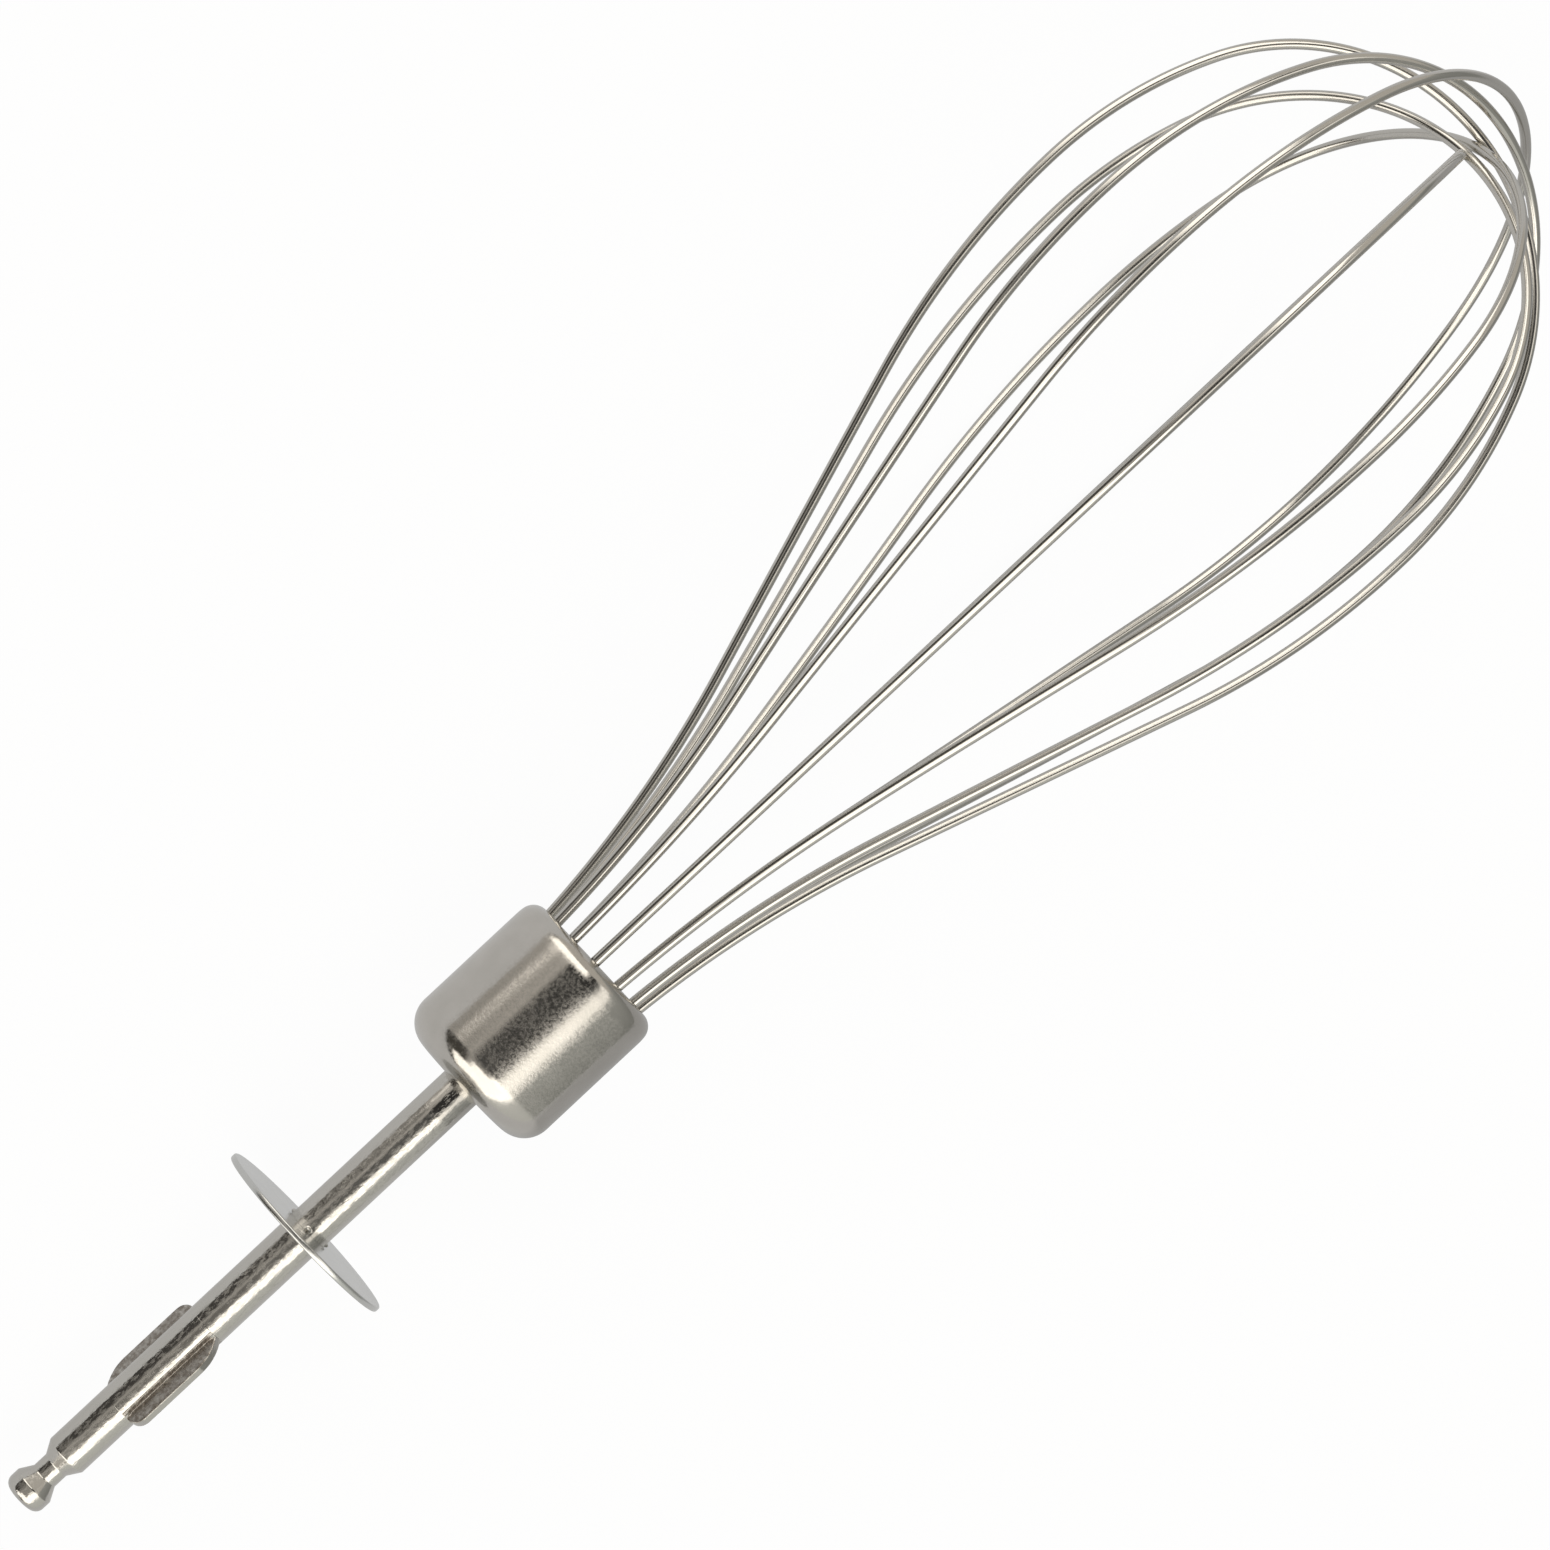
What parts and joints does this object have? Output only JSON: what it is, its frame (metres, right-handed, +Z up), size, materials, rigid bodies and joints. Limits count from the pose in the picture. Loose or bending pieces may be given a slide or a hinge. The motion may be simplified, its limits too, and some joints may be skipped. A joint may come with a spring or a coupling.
{
  "type": "immersion blender whisk attachment",
  "caption": "Balloon whisk of crossing steel wire loops on a round ferrule, with a slim drive shaft that has a stop disc, pressed ears and a necked head.",
  "frame": {"origin": "on the surface it lies on, under the middle of its outline", "axes": "+X runs from the drive head towards the tip of the loops along the surface, +Z is up. It lies on the edge of the stop disc and two loops, so its axis rises about 7 degrees towards the tip."},
  "size_m": [0.2208, 0.0615, 0.0573],
  "materials": {
    "shaft_steel": "satin",
    "disc_steel": "satin",
    "ferrule_steel": "satin",
    "hub_steel": "satin",
    "wire_steel": "polished"
  },
  "bodies": {
    "root": {"shaft": "shaft_steel", "stop_disc": "disc_steel", "ferrule": "ferrule_steel", "wire_hub": "hub_steel", "loop_1": "wire_steel", "loop_2": "wire_steel", "loop_3": "wire_steel", "loop_4": "wire_steel", "loop_5": "wire_steel", "loop_6": "wire_steel"}
  },
  "joints": []
}
